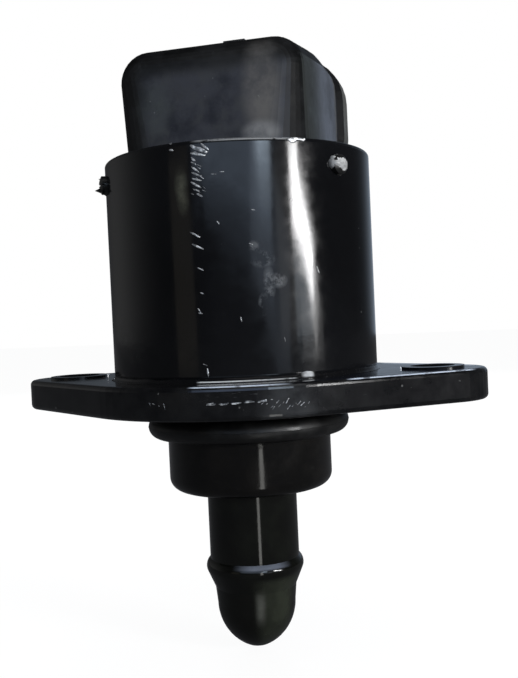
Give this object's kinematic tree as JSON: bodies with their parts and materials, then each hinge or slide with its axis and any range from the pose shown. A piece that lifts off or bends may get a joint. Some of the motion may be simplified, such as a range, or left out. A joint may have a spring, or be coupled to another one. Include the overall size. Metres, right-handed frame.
{
  "type": "idle air control valve",
  "caption": "Idle air control valve: black stepper motor can on a two-hole flange, side-facing socket on top, sealed nose and a sliding round-tipped pintle below.",
  "frame": {"origin": "centre of the flange's underside, on the valve's axis, midway between the two bolt holes", "axes": "+Z along the valve's axis from the pintle to the socket, X through both bolt holes, +Y the way the socket's mouth faces"},
  "size_m": [0.063, 0.044, 0.0815],
  "materials": {
    "black_paint": "gloss black paint with fine scratches",
    "flange_paint": "black paint, scuffed along its edges",
    "socket_plastic": "semi-matt moulded black plastic with smudges",
    "terminals": "tinned brass",
    "bare_steel": "bare cut steel",
    "seal_rubber": "black rubber",
    "nose_plastic": "satin black plastic",
    "ring_rubber": "black rubber, slightly shiny",
    "pintle_plastic": "satin black plastic",
    "screw_steel": "rolled steel thread",
    "spring_steel": "drawn spring steel",
    "bearing_steel": "ground bearing steel",
    "cage_brass": "pressed brass",
    "hub_plastic": "natural moulded plastic",
    "magnet_ferrite": "dark grey ferrite",
    "bush_bronze": "sintered bronze",
    "yoke_steel": "plated sheet steel",
    "bobbin_plastic": "natural moulded plastic",
    "copper_wire": "enamelled copper wire"
  },
  "bodies": {
    "valve_body": {"motor_can": "black_paint", "mounting_flange": "flange_paint", "connector_housing": "socket_plastic", "terminal_1": "terminals", "terminal_2": "terminals", "terminal_3": "terminals", "terminal_4": "terminals", "lock_pins": "bare_steel", "plug_seal": "seal_rubber", "nose_housing": "nose_plastic", "nose_o_ring": "ring_rubber", "return_spring": "spring_steel", "spring_seat": "spring_steel", "bearing_outer_race": "bearing_steel", "rear_bush": "bush_bronze", "lower_outer_yoke": "yoke_steel", "lower_inner_yoke": "yoke_steel", "upper_inner_yoke": "yoke_steel", "upper_outer_yoke": "yoke_steel", "lower_bobbin": "bobbin_plastic", "upper_bobbin": "bobbin_plastic", "lower_winding": "copper_wire", "upper_winding": "copper_wire"},
    "rotor": {"rotor_hub": "hub_plastic", "rotor_magnet": "magnet_ferrite", "thrust_washer": "hub_plastic", "bearing_inner_race": "bearing_steel"},
    "ball_cage": {"bearing_balls": "bearing_steel", "bearing_cage": "cage_brass"},
    "pintle": {"pintle": "pintle_plastic", "lead_screw": "screw_steel"}
  },
  "joints": [
    {"name": "rotor_spin", "type": "hinge", "parent": "valve_body", "child": "rotor", "pos_m": [0, 0, 0.015], "axis": [0, 0, 1], "range_deg": [-2700, 360]},
    {"name": "ball_cage_spin", "type": "hinge", "parent": "valve_body", "child": "ball_cage", "pos_m": [0, 0, 0.005], "axis": [0, 0, 1], "range_deg": [-1084, 145]},
    {"name": "pintle_slide", "type": "slide", "parent": "valve_body", "child": "pintle", "axis": [0, 0, 1], "range_m": [-0.001, 0.0075], "deforming": ["return_spring"]}
  ],
  "couplings": [
    {"joint": "ball_cage_spin", "follows": "rotor_spin", "ratio": 0.4008},
    {"joint": "pintle_slide", "follows": "rotor_spin", "m_per_rad": -0.00015915}
  ]
}
